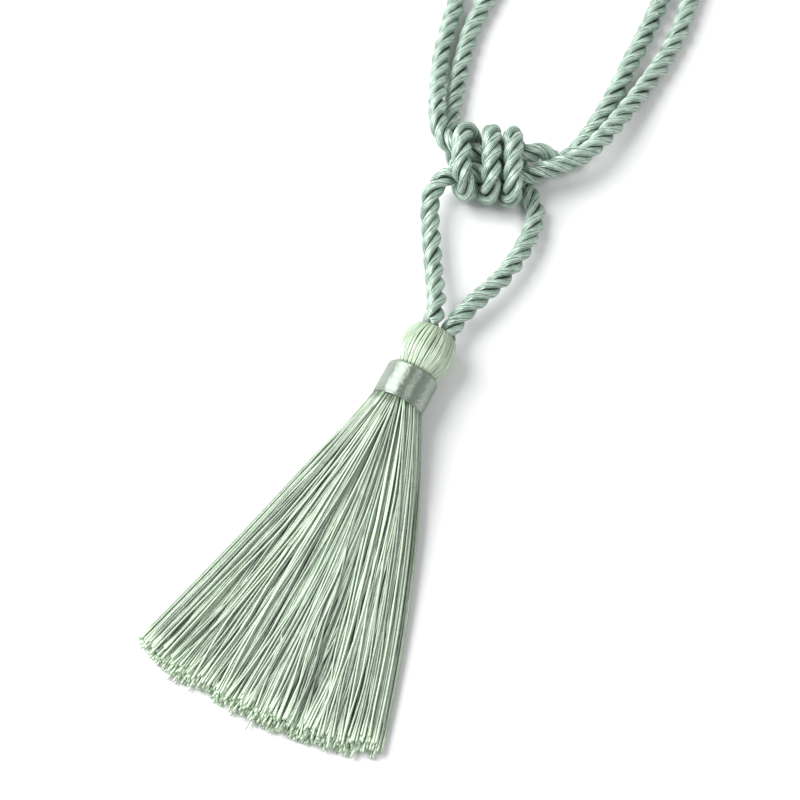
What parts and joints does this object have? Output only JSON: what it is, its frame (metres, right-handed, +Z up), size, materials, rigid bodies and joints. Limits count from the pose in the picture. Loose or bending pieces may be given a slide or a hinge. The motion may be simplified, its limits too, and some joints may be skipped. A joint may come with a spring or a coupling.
{
  "type": "curtain tieback tassel",
  "caption": "Curtain tieback: a satin twisted rope knotted round itself, with two looped arms and a long thread tassel on a drop loop.",
  "frame": {"origin": "the point of the resting surface under the widest part of the tassel's head, on the small flat where the head lies", "axes": "+Z up from the resting surface, +Y towards the eyes of the two arms, +X to the right arm's side"},
  "size_m": [0.2404, 0.381, 0.0239],
  "materials": {
    "rope_yarn": "satin wound yarn, grey-green, three plies twisted right-handed",
    "tassel_yarn": "satin loose threads, pale grey-green",
    "collar_yarn": "satin thread wound tightly round, pale grey-green"
  },
  "bodies": {
    "root": {"rope": "rope_yarn", "tassel": "tassel_yarn", "collar": "collar_yarn"}
  },
  "joints": []
}
